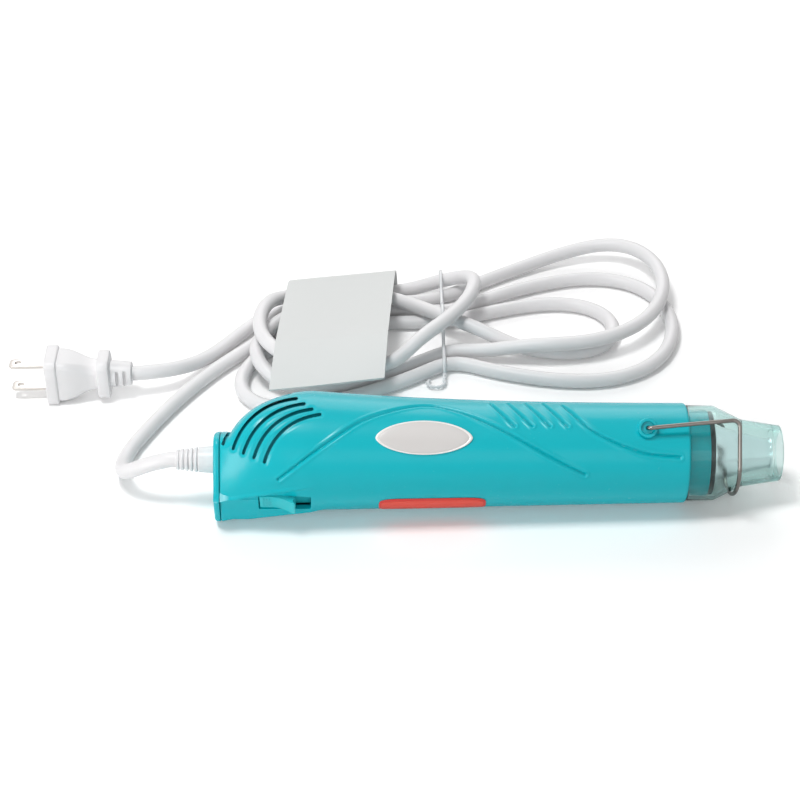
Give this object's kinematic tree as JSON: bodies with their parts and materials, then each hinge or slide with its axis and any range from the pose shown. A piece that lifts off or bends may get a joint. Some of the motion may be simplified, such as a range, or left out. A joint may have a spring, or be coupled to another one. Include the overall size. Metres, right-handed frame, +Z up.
{
  "type": "embossing heat tool",
  "caption": "Slim craft hot-air gun lying on its side facet, with a clear nozzle guard, hinged wire stand, slide switch and a tied bundle of mains lead.",
  "frame": {"origin": "on the table under the middle of the tool's own box, sleeve to nozzle mouth; the lead and what is on it are left out of that box", "axes": "+X towards the nozzle, +Z up from the table, +Y towards the bundled lead"},
  "size_m": [0.3548, 0.2279, 0.0527],
  "materials": {
    "teal_body": "glossy moulded ABS",
    "clear_guard": "clear, faintly green, glossy",
    "steel": "bright",
    "stand_wire": "bright drawn wire",
    "dark_insulator": "matt",
    "mica": "matt",
    "resistance_wire": "bright",
    "copper": "bright",
    "fan_plastic": "satin",
    "board": "satin",
    "cord_white": "satin PVC",
    "wire_black": "satin",
    "plate_light": "satin metallised",
    "strip_red": "satin",
    "paper": "matt paper",
    "tie_white": "satin"
  },
  "bodies": {
    "tool": {"housing_near": "teal_body", "housing_far": "teal_body", "rear_cap": "teal_body", "front_collar": "teal_body", "nozzle_shroud": "clear_guard", "outlet_cone": "steel", "insulator_ring": "dark_insulator", "heater_barrel": "steel", "heater_bracket": "steel", "mica_sleeve": "mica", "mica_cross": "mica", "heating_coil": "resistance_wire", "thermal_cutout": "dark_insulator", "motor_can": "steel", "motor_end_bell": "dark_insulator", "motor_bracket": "fan_plastic", "rectifier_board": "board", "diodes": "dark_insulator", "switch_body": "dark_insulator", "switch_terminals": "copper", "strain_relief": "cord_white", "cord_entry": "cord_white", "cord_clamp": "steel", "clamp_screws": "steel", "housing_screws": "steel", "badge": "plate_light", "side_label": "strip_red", "supply_leads": "wire_black", "heater_leads": "wire_black", "motor_leads": "wire_black", "plug_body": "cord_white", "plug_blades": "copper", "cord_tool_lead": "cord_white", "cord_hank": "cord_white", "cord_plug_lead": "cord_white", "cord_tag": "paper", "cord_tie": "tie_white"},
    "stand": {"wire_stand": "stand_wire"},
    "thumb": {"switch_thumb": "teal_body"},
    "rotor": {"motor_shaft": "steel", "fan_impeller": "fan_plastic"}
  },
  "joints": [
    {"name": "stand_hinge", "type": "hinge", "parent": "tool", "child": "stand", "pos_m": [0.07288, 0.00698, 0.03175], "axis": [-0.013, 0.809, -0.5876], "range_deg": [0, 90]},
    {"name": "switch_slide", "type": "slide", "parent": "tool", "child": "thumb", "axis": [0.9998, 0, -0.0222], "range_m": [0, 0.006]},
    {"name": "fan_spin", "type": "hinge", "parent": "tool", "child": "rotor", "pos_m": [-0.0261, 0.00034, 0.02481], "axis": [0.9998, 0, -0.0222], "continuous": true}
  ]
}
